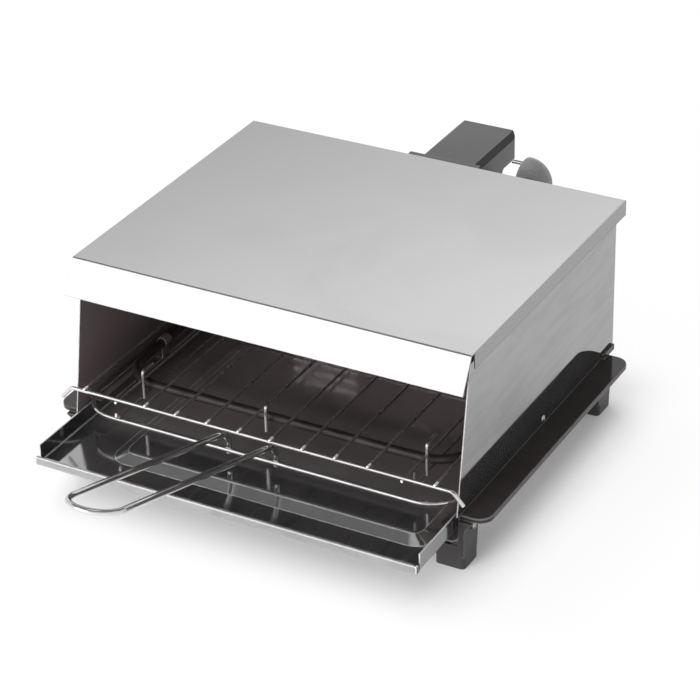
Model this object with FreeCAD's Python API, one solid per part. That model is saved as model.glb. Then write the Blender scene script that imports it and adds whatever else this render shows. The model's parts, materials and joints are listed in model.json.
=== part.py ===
"""Open-front raclette grill: a sheet-steel hood on an enamelled pan, with a wire rack,
a loose U-shaped rack handle and a drip tray that slides out like a drawer.

Millimetres. X runs to the grill's right, Y to its back and Z up, so the open front faces
-Y. The shapes are drawn from the middle of the pan and then moved along Y, so that the
origin lies on the table below the middle of the whole grill.
"""
import FreeCAD, Part
import math
import os

V = FreeCAD.Vector

# Hood
hood_half = 150.0
hood_front = -105.5
hood_rear = 136.5
hood_top_z = 154.0
sheet = 0.8
fold_r = 0.8
rim_drop = 12.0
visor_drop = 23.3
visor_out = 12.9
visor_hem = 3.0
corner_relief = 5.0
panel_half = hood_half - 3.0
panel_rear = hood_rear - 9.3
front_lean = 0.15
panel_flange = 9.0
back_face = panel_rear - sheet - 0.1
back_foot = 12.0
louvre_count = 7
louvre_x = 90.0
louvre_half = 28.0
louvre_low = 66.0
louvre_pitch = 9.0
panel_screw_y = 10.0
panel_screw_up = 4.0
back_screw_rows = (62.0, 100.0, hood_top_z - 20.0)

# Pan and feet
well_half = panel_half - 1.4
pan_half = well_half + 20.4
pan_front = -115.8
pan_rear = hood_rear - 20.5
pan_top = 40.0
pan_sheet = 1.2
pan_corner = 10.0
pan_skirt = 3.4
well_rear = pan_rear - 4.0
well_floor = 17.0
well_bend = 6.0
bead_rows = (-60.0, 0.0, 60.0)
bead_half = well_half - 25.0
bead_r = 3.0
lug_high = 3.6
foot_wide = 21.5
foot_deep = 21.0
foot_cheek = 4.4
foot_flare = 5.0
foot_flare_high = 12.0
foot_cheek_top = pan_top - pan_skirt
foot_front_y = -119.0
foot_rear_y = pan_rear - 21.0
foot_screw_z = pan_top - 9.6
foot_screw_hole = 1.6
foot_boss_r = 3.5
foot_boss_out = 2.4

# Drip tray
tray_half = well_half - 0.6
tray_sheet = 0.8
tray_floor = 28.4
tray_wall_top = 41.5
tray_front = -168.7
tray_long = 222.0
lip_out = 5.2
lip_top = 34.8
lip_roll = 2.8
plateau_left = 39.0 - tray_half
plateau_right = tray_half - 6.0
plateau_margin = 19.0
plateau_deep = 182.0
plateau_high = 4.0
plateau_bevel = 10.0
plateau_corner = 14.0
runner_wide = 7.0
runner_sheet = 1.0
runner_leg = 3.4
slide_gap = 0.3

# Rack
rack_y = -125.0
rack_bar_z = 63.0
rack_bar_r = 1.4
rack_bar_half = panel_half - 1.0
rack_bar_drop = 9.0
rack_bar_flare = 8.0
rack_bar_bend = 5.0
rod_r = 0.95
rod_count = 12
rod_margin = 12.8
rod_overhang = 1.8
rack_rear_y = well_rear - 20.0
weld = 0.1
loop_r = 1.6
loop_z = 45.6
loop_half = panel_half - 4.0
loop_front_y = -122.5
loop_corner = 26.0
leg_r = 1.3
leg_y = -94.0
leg_tops = {1: 69.5, 5: 67.5, 10: 72.0}
leg_hooks = {1: 12.0, 5: 5.0, 10: 12.5}
leg_bend = 2.6
low_wire_fronts = {1: -126.0, 10: -108.0}
low_wire_turns = {1: 4.0, 10: 9.0}
low_rods = sorted(low_wire_fronts)
ledge_wide = 9.0
ledge_sheet = 0.8

# Handle
grip_r = 2.2
grip_x = -7.2
grip_half = 18.3
grip_start_y = rack_y - 2.0
grip_reach = 168.5
grip_rise = 51.0
grip_under = 0.35
grip_back = 4.5
grip_hook_top = 4.6
grip_hook_low = 5.1
grip_bend = 3.0
grip_slant = math.hypot(grip_reach, grip_rise)
grip_end_y = grip_start_y - grip_reach / grip_slant * (grip_slant + grip_half) - grip_r

# Heaters
tube_r = 3.25
heater_bend = 22.0
heater_corner = 28.0
heater_end_bend = 18.0
heater_end_left = -5.0
heater_end_right = 19.0
heater_tail = 5.3
bush_r = 6.0
bush_collar = 2.0
bush_long = 6.0
low_heater_z = rack_bar_z - 7.8
low_heater_half = panel_half - 16.0
low_heater_front = -86.0
low_heater_back = rack_rear_y - 8.0
up_heater_z = hood_top_z - 18.0
up_heater_half = panel_half - 29.0
up_heater_mid = 38.0
up_heater_front = -78.0
up_heater_back = rack_rear_y + 4.0
up_heater_dip = 40.0
stay_rows = (-40.0, 50.0)
clip_rows = (-30.0, 50.0)
clip_wall = 0.9
clip_deep = 8.0
reflector_up = 5.4
reflector_side = 7.0
reflector_sheet = 0.5

# Terminal box, wiring duct and regulator
box_left = -17.0
box_right = 31.0
box_top = 150.0
box_step = box_top - 20.0
box_bottom = 106.0
box_rear = hood_rear + 76.0
box_step_y = box_rear - 27.0
box_wall = 2.2
box_chamfer = 4.0
box_round = 8.0
flange_y = hood_rear + 0.4
flange_thick = 8.0
flange_margin = 6.4
flange_top = box_top + 1.2
flange_screw_z = box_top - 16.0
duct_bottom = 44.0
duct_rear = 150.0
duct_wing = 9.0
duct_screw_rows = (56.0, 92.0)
block_y = 152.0
block_deep = 16.0
block_z = box_step + 3.0
block_high = 9.0
way_pitch = 9.6
reg_left = 4.0
reg_right = 26.0
reg_half = 8.5
knob_face = 54.0
knob_y = 173.7
knob_z = box_top - 20.4
knob_r = 19.0
knob_long = 20.0
knob_band = 2.4
knob_rib_count = 18
shaft_r = 3.0
shaft_gap = 0.05
pin_r = 1.5
pin_out = 16.8
pin_y = -2.7
pin_long = 8.0
gland_x = 7.0
gland_y = box_rear - 10.5
gland_r = 5.5
cord_hole_r = 3.3

# The origin lies below the middle of the whole grill
centre_y = (grip_end_y + box_rear) / 2.0


def box(low, high):
    return Part.makeBox(high[0] - low[0], high[1] - low[1], high[2] - low[2], V(*low))


def rod(start, end, radius):
    a, b = V(*start), V(*end)
    return Part.makeCylinder(radius, a.distanceToPoint(b), a, b - a)


def rounded(points, radii):
    """A closed wire through points, with an arc of the given radius at each corner."""
    count = len(points)
    ins, outs, mids = [], [], []
    for i in range(count):
        p, here, n = points[i - 1], points[i], points[(i + 1) % count]
        a = (V(*p) - V(*here)).normalize()
        b = (V(*n) - V(*here)).normalize()
        half = a.getAngle(b) / 2.0
        r = radii[i]
        back = r / math.tan(half) if r > 0 else 0.0
        ins.append(V(*here) + a * back)
        outs.append(V(*here) + b * back)
        centre = V(*here) + (a + b).normalize() * (r / math.sin(half)) if r > 0 else V(*here)
        mids.append(centre + (V(*here) - centre).normalize() * r if r > 0 else V(*here))
    edges = []
    for i in range(count):
        if radii[i] > 0:
            edges.append(Part.Arc(ins[i], mids[i], outs[i]).toShape())
        following = ins[(i + 1) % count]
        if outs[i].distanceToPoint(following) > 1e-6:
            edges.append(Part.makeLine(outs[i], following))
    return Part.Wire(edges)


def prism(points, radii, direction):
    return Part.Face(rounded(points, radii)).extrude(V(*direction))


def plate(x0, x1, y0, y1, z, thick, corner):
    """A flat plate with rounded upright corners, its underside at z."""
    points = [(x0, y0, z), (x1, y0, z), (x1, y1, z), (x0, y1, z)]
    return prism(points, [corner] * 4, (0, 0, thick))


def folded(points, thick, radius, direction):
    """A folded sheet: the outer line of its section, thickened to the left and extruded."""
    count = len(points)
    flat = [V(*p) for p in points]
    axis = V(*direction).normalize()
    sides = []
    for i in range(count - 1):
        along = (flat[i + 1] - flat[i]).normalize()
        sides.append(axis.cross(along))
    inner = []
    inner_r = []
    outer_r = []
    for i in range(count):
        if i == 0 or i == count - 1:
            side = sides[0] if i == 0 else sides[-1]
            inner.append(flat[i] + side * thick)
            inner_r.append(0.0)
            outer_r.append(0.0)
            continue
        mitre = sides[i - 1] + sides[i]
        inner.append(flat[i] + mitre * (2.0 * thick / mitre.dot(mitre)))
        turn = axis.dot(sides[i - 1].cross(sides[i]))
        outer_r.append(radius + thick if turn > 0 else radius)
        inner_r.append(radius if turn > 0 else radius + thick)
    loop = flat + inner[::-1]
    radii = outer_r + inner_r[::-1]
    return prism([tuple(p) for p in loop], radii, direction)


def wire(points, radius, bend):
    """Round wire along straight runs joined by tangent arcs."""
    nodes = [V(*p) for p in points]
    bends = bend if isinstance(bend, (list, tuple)) else [bend] * (len(nodes) - 2)
    edges = []
    last = nodes[0]
    for i in range(1, len(nodes) - 1):
        a = (nodes[i - 1] - nodes[i]).normalize()
        b = (nodes[i + 1] - nodes[i]).normalize()
        half = a.getAngle(b) / 2.0
        r = bends[i - 1]
        back = r / math.tan(half)
        start, end = nodes[i] + a * back, nodes[i] + b * back
        centre = nodes[i] + (a + b).normalize() * (r / math.sin(half))
        middle = centre + (nodes[i] - centre).normalize() * r
        if last.distanceToPoint(start) > 1e-4:
            edges.append(Part.makeLine(last, start))
        edges.append(Part.Arc(start, middle, end).toShape())
        last = end
    edges.append(Part.makeLine(last, nodes[-1]))
    path = Part.Wire(edges)
    section = Part.Wire(Part.makeCircle(radius, nodes[0], nodes[1] - nodes[0]))
    return path.makePipeShell([section], True, False)


def mirrored(shape):
    return shape.mirror(V(0, 0, 0), V(1, 0, 0))


def front_edge_y(z):
    """The side panels' raked front edge."""
    return hood_front + 2.4 - front_lean * (hood_top_z - z)


def foot_outer():
    return well_half + pan_sheet + foot_cheek


def base_pan():
    """Enamelled pan: a shallow well open at the front, with wide wings and a turned-down rim."""
    low = well_floor
    rim_z = pan_top - pan_skirt
    rim = plate(-pan_half, pan_half, pan_front, pan_rear, rim_z, pan_skirt, pan_corner)
    rim_edges = [e for e in rim.Edges if abs(e.BoundBox.ZMin - pan_top) < 1e-3]
    rim = rim.makeFillet(0.9, rim_edges)
    under = plate(pan_sheet - pan_half, pan_half - pan_sheet, pan_front + pan_sheet,
                  pan_rear - pan_sheet, rim_z - 1.0, pan_skirt + 1.0 - pan_sheet,
                  pan_corner - pan_sheet)
    rim = rim.cut(under)
    outer_half = well_half + pan_sheet
    outer = [(-outer_half, pan_front, pan_top - 0.5), (-outer_half, pan_front, low),
             (outer_half, pan_front, low), (outer_half, pan_front, pan_top - 0.5)]
    shell = prism(outer, [0, well_bend + pan_sheet, well_bend + pan_sheet, 0],
                  (0, well_rear + pan_sheet - pan_front, 0))
    inner = [(-well_half, pan_front - 1, pan_top + 1), (-well_half, pan_front - 1, low + pan_sheet),
             (well_half, pan_front - 1, low + pan_sheet), (well_half, pan_front - 1, pan_top + 1)]
    hollow = prism(inner, [0, well_bend, well_bend, 0], (0, well_rear + 1 - pan_front, 0))
    pan = rim.fuse(shell).cut(hollow)
    for y in bead_rows:
        bead = rod((-bead_half, y, low + 0.2), (bead_half, y, low + 0.2), bead_r)
        groove = rod((-bead_half, y, low + 0.2), (bead_half, y, low + 0.2), bead_r - pan_sheet)
        above = box((-bead_half, y - 8, low + pan_sheet / 2), (bead_half, y + 8, low + 8))
        pan = pan.fuse(bead.common(above)).cut(groove)
    for sign in (-1, 1):
        x0, x1 = sorted((sign * (panel_half + 0.3), sign * (panel_half + 1.9)))
        lug = box((x0, pan_rear - 8.0, pan_top - 0.6), (x1, panel_rear - 1.5, pan_top + lug_high))
        pan = pan.fuse(lug)
    return pan


def foot(front, right):
    """One foot: a hollow block under the well with a cheek that rises under the wing."""
    outer = foot_outer()
    inner = outer - foot_wide
    y0 = foot_front_y if front else foot_rear_y
    y1 = y0 + foot_deep
    block = plate(inner, outer, y0, y1, 0.0, well_floor, 3.0)
    corner = rod((inner + 6.0, y0 - 1, well_floor - 6.0), (inner + 6.0, y1 + 1, well_floor - 6.0), 6.0)
    shave = box((inner - 1, y0 - 1, well_floor - 6.0), (inner + 6.0, y1 + 1, well_floor + 1))
    block = block.cut(shave.cut(corner))
    wall = well_half + pan_sheet
    cheek = box((wall, y0, well_floor - 8.0), (outer, y1, foot_cheek_top))
    brim = outer + foot_flare
    flare = prism([(wall, y0, foot_cheek_top), (wall, y0, foot_cheek_top - foot_flare_high),
                   (outer, y0, foot_cheek_top - foot_flare_high), (outer + 1.0, y0, foot_cheek_top - 4.0),
                   (brim, y0, foot_cheek_top - 1.0), (brim, y0, foot_cheek_top)],
                  [0, 0, 8.0, 5.0, 0.4, 0], (0, foot_deep, 0))
    saddle = rod((wall - 7.2, y0 - 1, well_floor + 7.2), (wall - 7.2, y1 + 1, well_floor + 7.2), 7.2)
    fill = box((wall - 7.2, y0 + 1.0, well_floor - 1), (wall + 0.2, y1 - 1.0, well_floor + 7.2))
    middle = (y0 + y1) / 2.0
    boss = rod((wall, middle, foot_screw_z), (outer + foot_boss_out, middle, foot_screw_z), foot_boss_r)
    shape = block.multiFuse([cheek, flare, boss, fill.cut(saddle)])
    taper = prism([(outer + 9.0, y1 + 1.0, -1.0), (outer + 9.0, y1 - 3.0, -1.0),
                   (outer + 9.0, y1 + 1.0, foot_cheek_top)], [0, 0, 0], (-foot_wide - 12.0, 0, 0))
    hollow = plate(inner + 3.0, outer - 6.0, y0 + 3.0, y1 - 6.0, -1.0, 9.0, 1.5)
    hole = rod((outer + 9, middle, foot_screw_z), (wall - 1, middle, foot_screw_z), foot_screw_hole)
    shape = shape.cut(taper).cut(hollow).cut(hole)
    return shape if right else mirrored(shape)


def pan_head(x, y, z, axis, radius, shank):
    """A screw: domed head sitting on the plane at the given point, shank behind it."""
    base = V(x, y, z)
    out = V(*axis)
    dome = Part.makeSphere(radius * 1.25, base - out * (radius * 0.72))
    keep = Part.makeCylinder(radius, radius, base, out)
    slot = Part.makeCylinder(radius * 0.34, radius, base + out * (radius * 0.3), out)
    head = dome.common(keep).cut(slot)
    if shank > 0:
        head = head.fuse(Part.makeCylinder(1.5, shank, base + out * 0.1, out * -1))
    return head


def foot_screws():
    """Self-tapping screws that hold each foot's cheek to the pan's wall."""
    outer = foot_outer()
    parts = []
    for y0 in (foot_front_y, foot_rear_y):
        middle = y0 + foot_deep / 2.0
        screw = pan_head(outer + foot_boss_out, middle, foot_screw_z, (1, 0, 0), 2.8,
                         foot_cheek + foot_boss_out - 0.1)
        parts += [screw, mirrored(screw)]
    return Part.makeCompound(parts)


def hood_top():
    """Folded top with a raked visor in front and turned-down rims on the other sides."""
    top = hood_top_z
    tip_y, tip_z = hood_front - visor_out, top - visor_drop
    section = [(-hood_half, hood_rear, top - rim_drop), (-hood_half, hood_rear, top),
               (-hood_half, hood_front, top), (-hood_half, tip_y, tip_z)]
    body = folded(section, sheet, fold_r, (2 * hood_half, 0, 0))
    rims = []
    for side in (-1, 1):
        x0, x1 = sorted((side * hood_half, side * (hood_half - sheet)))
        rims.append(box((x0, hood_front + corner_relief, top - rim_drop),
                        (x1, hood_rear - sheet / 2, top - sheet / 2)))
    body = body.multiFuse(rims)
    hem = box((-hood_half, tip_y + 0.2, tip_z + 0.1), (hood_half, tip_y + sheet + 1.0, tip_z + visor_hem))
    rake = math.degrees(math.atan2(visor_out, visor_drop))
    hem.rotate(V(0, tip_y, tip_z), V(1, 0, 0), -rake)
    body = body.fuse(hem)
    notch = box((box_left - 0.6, hood_rear - 3, box_step - 1), (box_right + 0.6, hood_rear + 3, top - 3))
    return body.cut(notch).removeSplitter()


def hood_side(right):
    """Side panel with a raked front edge and flanges at the top and back."""
    z0 = pan_top
    z1 = hood_top_z - sheet
    x = panel_half - sheet
    points = [(x, front_edge_y(z0), z0), (x, panel_rear, z0), (x, panel_rear, z1),
              (x, front_edge_y(z1) + 3.0, z1)]
    wall = prism(points, [0.5, 0.5, 3.0, 3.0], (sheet, 0, 0))
    flange = box((panel_half - panel_flange, front_edge_y(z1) + 8.0, z1 - sheet),
                 (panel_half, panel_rear - 4.0, z1))
    back = box((panel_half - panel_flange, panel_rear - sheet, z0 + 2.0),
               (panel_half, panel_rear, z1 - 6.0))
    shape = wall.multiFuse([flange, back])
    return shape if right else mirrored(shape)


def hood_back():
    """Back panel with louvres, a foot on the pan's rim and holes for the heater bushes."""
    z1 = hood_top_z - sheet - 0.4
    x = panel_half - sheet - 0.6
    y1 = back_face
    wall = folded([(-x, y1 - back_foot, pan_top), (-x, y1, pan_top), (-x, y1, z1)],
                  sheet, 0.6, (2 * x, 0, 0))
    for side in (-1, 1):
        for i in range(louvre_count):
            z = louvre_low + louvre_pitch * i
            slot = plate(side * louvre_x - louvre_half, side * louvre_x + louvre_half, y1 - 3, y1 + 2,
                         z, 2.6, 0.1)
            wall = wall.cut(slot)
    for z in (low_heater_z, up_heater_z):
        for x_end in (heater_end_left, heater_end_right):
            wall = wall.cut(rod((x_end, y1 - 3, z), (x_end, y1 + 3, z), bush_r + 0.1))
    return wall


def hood_screws():
    """Screws through the side panels' feet and through their back flanges."""
    parts = []
    for y, z in ((panel_screw_y, pan_top + panel_screw_up),):
        screw = pan_head(panel_half, y, z, (1, 0, 0), 2.4, 0.0)
        parts += [screw, mirrored(screw)]
    for z in back_screw_rows:
        screw = pan_head(panel_half - 4.5, panel_rear, z, (0, 1, 0), 2.4, 0.0)
        parts += [screw, mirrored(screw)]
    return Part.makeCompound(parts)


def drip_tray():
    """The drawer: a pressed tray with side walls, a rolled front lip and a raised floor."""
    y0, y1 = tray_front, tray_front + tray_long
    z0, t, half = tray_floor, tray_sheet, tray_half
    low = z0 + t
    outer = prism([(-half, y0, tray_wall_top), (-half, y0, z0), (half, y0, z0),
                   (half, y0, tray_wall_top)], [0, 1.6, 1.6, 0], (0, y1 - y0, 0))
    hollow = prism([(t - half, y0, tray_wall_top), (t - half, y0, low), (half - t, y0, low),
                    (half - t, y0, tray_wall_top)], [0, 0.8, 0.8, 0], (0, y1 - t - y0, 0))
    lip = folded([(-half, y0 - lip_out + lip_roll, lip_top - 3.0), (-half, y0 - lip_out + lip_roll, lip_top),
                  (-half, y0 - lip_out, lip_top), (-half, y0 - lip_out - 0.2, z0), (-half, y0, z0)],
                 t, 0.35, (2 * half, 0, 0))
    tray = outer.cut(hollow).fuse(lip)
    left, right = plateau_left, plateau_right
    front, back = y0 + plateau_margin, y0 + plateau_margin + plateau_deep
    b, corner = plateau_bevel, plateau_corner

    def ring(inset, z, radius):
        return rounded([(left + inset, front + inset, z), (right - inset, front + inset, z),
                        (right - inset, back - inset, z), (left + inset, back - inset, z)], [radius] * 4)

    window = prism([(left + 4, front + 4, z0 - 1), (right - 4, front + 4, z0 - 1),
                    (right - 4, back - 4, z0 - 1), (left + 4, back - 4, z0 - 1)],
                   [corner - 4.0] * 4, (0, 0, t + 2.0))
    mound = Part.makeLoft([ring(0.0, z0, corner), ring(b, low + plateau_high, corner - 6.0)], True, True)
    below = Part.makeLoft([ring(1.6, z0, corner - 1.6), ring(b, low + plateau_high - t, corner - 6.0)],
                          True, True)
    return tray.cut(window).fuse(mound).cut(below)


def tray_runner(right):
    """Angle strip on the well's wall that carries the tray."""
    x1 = well_half
    z1 = tray_floor - slide_gap
    y0, y1 = pan_front + 6, well_rear - 1
    ledge = box((x1 - runner_wide, y0, z1 - runner_sheet), (x1, y1, z1))
    leg = box((x1 - runner_sheet, y0, z1 - runner_leg), (x1, y1, z1))
    shape = ledge.fuse(leg)
    return shape if right else mirrored(shape)


def rod_x(index):
    pitch = 2.0 * (panel_half - rod_margin) / (rod_count - 1)
    return (index - (rod_count - 1) / 2.0) * pitch


def rack_front_bar():
    """Front bar of the grid, its ends flared out and down."""
    end, z = rack_bar_half, rack_bar_z
    return wire([(-end - rack_bar_flare, rack_y, z - rack_bar_drop), (-end, rack_y, z),
                 (end, rack_y, z), (end + rack_bar_flare, rack_y, z - rack_bar_drop)],
                rack_bar_r, rack_bar_bend)


def rack_rear_bar():
    end = loop_half
    return rod((-end, rack_rear_y, rack_bar_z), (end, rack_rear_y, rack_bar_z), rack_bar_r)


def rack_rods():
    """Grid rods welded on top of the bars, with rounded front ends."""
    z = rack_bar_z + rack_bar_r + rod_r - weld
    front, back = rack_y - rod_overhang, rack_rear_y + rod_overhang
    parts = []
    for i in range(rod_count):
        if i not in low_rods:
            body = rod((rod_x(i), front, z), (rod_x(i), back, z), rod_r)
            parts.append(body.fuse(Part.makeSphere(rod_r, V(rod_x(i), front, z))))
    return Part.makeCompound(parts)


def rack_side_wires():
    """Two grid rods under the bars, and below each a wire with a turned-up end."""
    top = rack_bar_z - rack_bar_r - rod_r + weld
    low = loop_z + loop_r + rod_r - weld
    parts = []
    for i in low_rods:
        x = rod_x(i)
        parts.append(rod((x, rack_y - 1.0, top), (x, rack_rear_y + rod_overhang, top), rod_r))
        front, turn = low_wire_fronts[i], low_wire_turns[i]
        parts.append(wire([(x, rack_rear_y - 14.0, low), (x, front, low), (x, front, low + turn)],
                          rod_r, 2.4))
    return Part.makeCompound(parts)


def rack_legs():
    """Upright wires beside three of the rods, their tops bent back as stops for the pans."""
    parts = []
    for i, top in leg_tops.items():
        x = rod_x(i) + leg_r + rod_r - weld
        bottom = loop_z + loop_r + rod_r
        parts.append(wire([(x, leg_y, bottom), (x, leg_y, top), (x, leg_y + leg_hooks[i], top)],
                          leg_r, leg_bend))
    return Part.makeCompound(parts)


def rack_lower_loop():
    """The loop under the grid: front run, two sides, and ends that rise to the rear bar."""
    back = rack_rear_y + rack_bar_r + loop_r - weld
    rise = rack_bar_z + 1.0
    return wire([(-loop_half, back, rise), (-loop_half, back, loop_z),
                 (-loop_half, loop_front_y, loop_z), (loop_half, loop_front_y, loop_z),
                 (loop_half, back, loop_z), (loop_half, back, rise)],
                loop_r, [6.0, loop_corner, loop_corner, 6.0])


def rack_ledge(right):
    """The shelf on the side panel that the rack's lower loop slides on."""
    x1 = panel_half - sheet
    z1 = loop_z - loop_r - slide_gap
    y0, y1 = hood_front + 2.0, well_rear - 4.0
    shelf = box((x1 - ledge_wide, y0, z1 - ledge_sheet), (x1, y1, z1))
    stay = box((x1 - ledge_sheet, y0, z1 - ledge_sheet), (x1, y1, z1 + 7.0))
    shape = shelf.fuse(stay)
    return shape if right else mirrored(shape)


def rack_handle():
    """Loose U of heavy wire: its legs pass under the front bar and hook behind the loop."""
    z0 = rack_bar_z - rack_bar_r - grip_r - grip_under
    left, right = grip_x - grip_half, grip_x + grip_half
    reach = grip_slant + grip_half
    tip_y = grip_start_y - grip_reach / grip_slant * reach
    tip_z = z0 + grip_rise / grip_slant * reach
    behind = loop_front_y + grip_back

    def side(x):
        return [(x, behind + 0.3, loop_z - grip_hook_low), (x, behind, loop_z + grip_hook_top),
                (x, grip_start_y + 3.0, z0 - 0.8), (x, tip_y, tip_z)]

    points = side(left) + side(right)[::-1]
    turn = grip_half - 0.4
    return wire(points, grip_r, [grip_bend, 6.0, turn, turn, 6.0, grip_bend])


def lower_heater():
    """Sheathed heating tube in one flat loop above the tray, ends at the back."""
    tail = back_face + heater_tail
    left, right, half = heater_end_left, heater_end_right, low_heater_half
    front, back, z = low_heater_front, low_heater_back, low_heater_z
    points = [(left, tail, z), (left, back, z), (-half, back, z), (-half, front, z),
              (half, front, z), (half, back, z), (right, back, z), (right, tail, z)]
    bends = [heater_end_bend, heater_bend, heater_corner, heater_corner, heater_bend, heater_end_bend]
    return wire(points, tube_r, bends)


def upper_heater():
    """Upper heating tube, bent in an M under the hood."""
    tail = back_face + heater_tail
    left, right = heater_end_left, heater_end_right
    mid, half, dip = up_heater_mid, up_heater_half, up_heater_dip
    front, back, z = up_heater_front, up_heater_back, up_heater_z
    points = [(left, tail, z), (left, back, z), (-half, back, z), (-half, front, z),
              (-mid, front, z), (-mid, dip, z), (mid, dip, z), (mid, front, z),
              (half, front, z), (half, back, z), (right, back, z), (right, tail, z)]
    return wire(points, tube_r, [heater_end_bend] + [heater_bend] * 8 + [heater_end_bend])


def heater_bushes(z):
    """Ceramic bushes where a heater passes through the back panel."""
    y1 = back_face
    parts = []
    for x in (heater_end_left, heater_end_right):
        body = rod((x, y1 - bush_long, z), (x, y1 + bush_long / 2, z), bush_r)
        collar = rod((x, y1 - bush_long, z), (x, y1 - sheet, z), bush_r + bush_collar)
        bore = rod((x, y1 - bush_long - 1, z), (x, y1 + bush_long, z), tube_r + 0.1)
        parts.append(body.fuse(collar).cut(bore))
    return Part.makeCompound(parts)


def heater_stays():
    """Straps that hang the upper heater from the hood's top."""
    parts = []
    top, z = hood_top_z - sheet, up_heater_z
    half = clip_deep / 2.0
    for x in (-up_heater_half, up_heater_half):
        for y in stay_rows:
            strap = box((x - 5, y - half, top - 0.8), (x + 5, y + half, top))
            ring = rod((x, y - half, z), (x, y + half, z), tube_r + clip_wall)
            ring = ring.cut(rod((x, y - half - 1, z), (x, y + half + 1, z), tube_r + 0.05))
            post = box((x - 0.5, y - half, z + tube_r + clip_wall / 2), (x + 0.5, y + half, top))
            parts.append(strap.multiFuse([ring, post]))
    return Part.makeCompound(parts)


def heater_brackets():
    """Clips that carry the lower heater on the rack ledges, clear of the rack's path."""
    parts = []
    under = loop_z - loop_r - slide_gap - ledge_sheet
    x, z, half = low_heater_half, low_heater_z, clip_deep / 2.0
    for y in clip_rows:
        ring = rod((x, y - half, z), (x, y + half, z), tube_r + clip_wall)
        ring = ring.cut(rod((x, y - half - 1, z), (x, y + half + 1, z), tube_r + 0.05))
        post = box((x - 0.5, y - half, under - 0.6), (x + 0.5, y + half, z - tube_r - clip_wall / 2))
        toe = box((x - 0.5, y - half, under - 0.6), (panel_half - 2.6, y + half, under))
        bracket = ring.multiFuse([post, toe])
        parts += [bracket, mirrored(bracket)]
    return Part.makeCompound(parts)


def reflector():
    """Bright sheet over the upper heater that throws the heat down."""
    z = up_heater_z + tube_r + reflector_up
    half = panel_half - sheet
    front, back = up_heater_front - 14.0, up_heater_back + 12.0
    sheet_shape = folded([(half, front, z + reflector_side), (half, front, z), (-half, front, z),
                          (-half, front, z + reflector_side)], reflector_sheet, 0.5, (0, back - front, 0))
    for x in (-up_heater_half, up_heater_half):
        for y in stay_rows:
            slot = box((x - 1.2, y - clip_deep / 2 - 1, z - 2), (x + 1.2, y + clip_deep / 2 + 1, z + 2))
            sheet_shape = sheet_shape.cut(slot)
    return sheet_shape


def box_solid(inset, y0):
    """The terminal box's outline drawn in by an inset: a step shape seen from the side."""
    x0, x1 = box_left + inset, box_right - inset
    rear, step = box_rear - inset, box_step_y - inset
    top, mid, low = box_top - inset, box_step + inset, box_bottom + inset
    side = [(x0, y0, low), (x0, y0, top), (x0, rear, top), (x0, rear, mid), (x0, step, mid),
            (x0, step, low)]
    body = prism(side, [0, 0, 1.0, 2.0, 3.0, 4.0], (x1 - x0, 0, 0))
    c = box_chamfer
    for x, sign in ((x0, 1), (x1, -1)):
        edge = prism([(x - sign, y0 - 1, top + 1), (x + sign * (c + 1), y0 - 1, top + 1),
                      (x - sign, y0 - 1, top - c - 1)], [0, 0, 0], (0, rear + 2 - y0, 0))
        body = body.cut(edge)
        r = box_round - inset / 2.0
        a, b = sorted((x - sign, x + sign * r))
        corner = box((a, rear - r, low - 1), (b, rear + 1, top + 1))
        corner = corner.cut(rod((x + sign * r, rear - r, low - 2), (x + sign * r, rear - r, top + 2), r))
        body = body.cut(corner)
    return body


def terminal_box():
    """Moulded box behind the hood, open towards the back panel."""
    shell = box_solid(0.0, back_face).cut(box_solid(box_wall, back_face - 2.0))
    flange = box((box_left - flange_margin, flange_y, box_bottom + 6.0),
                 (box_right + 1.5, flange_y + flange_thick, flange_top))
    way = box((box_left + 1, flange_y - 1, box_bottom + 3), (box_right - 1, flange_y + 9, box_top - 1))
    shell = shell.fuse(flange.cut(way))
    duct_way = box((box_left + box_wall, back_face - 1, box_bottom - 1),
                   (box_right - box_wall, duct_rear - 3.0, box_bottom + box_wall + 1))
    shaft_way = rod((box_right - 6, knob_y, knob_z), (box_right + 3, knob_y, knob_z), shaft_r + 0.4)
    gland_way = rod((gland_x, gland_y, box_step - 3), (gland_x, gland_y, box_step + 6), gland_r)
    x = box_left - flange_margin / 2
    hole = rod((x, flange_y - 1, flange_screw_z), (x, flange_y + 9, flange_screw_z), 1.55)
    for cutter in (duct_way, shaft_way, gland_way, hole):
        shell = shell.cut(cutter)
    return shell


def wiring_duct():
    """Folded channel on the back panel that covers the lower heater's ends."""
    y0, z0, z1 = back_face, duct_bottom, box_bottom
    x0, x1, y1 = box_left, box_right, duct_rear
    outer = prism([(x0, y0, z0), (x0, y1, z0), (x1, y1, z0), (x1, y0, z0)], [0, 2.0, 2.0, 0],
                  (0, 0, z1 - z0))
    t = sheet
    inner = prism([(x0 + t, y0 - 1, z0 + t), (x0 + t, y1 - t, z0 + t), (x1 - t, y1 - t, z0 + t),
                   (x1 - t, y0 - 1, z0 + t)], [0, 1.2, 1.2, 0], (0, 0, z1))
    duct = outer.cut(inner)
    for a, b in ((x0 - duct_wing, x0 + 0.4), (x1 - 0.4, x1 + duct_wing)):
        duct = duct.fuse(box((a, y0, z0), (b, y0 + t, z1)))
    return duct


def back_screws():
    """Screws of the duct's wings and of the terminal box's flange."""
    parts = []
    y0 = back_face + sheet
    for x in (box_left - 5.0, box_right + 5.0):
        for z in duct_screw_rows:
            parts.append(pan_head(x, y0, z, (0, 1, 0), 2.4, 0.0))
    x, y = box_left - flange_margin / 2, flange_y + flange_thick
    parts.append(pan_head(x, y, flange_screw_z, (0, 1, 0), 2.2, flange_thick - 0.2))
    return Part.makeCompound(parts)


def way_x(index):
    return (box_left + box_right) / 2.0 + way_pitch * (index - 1)


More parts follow.
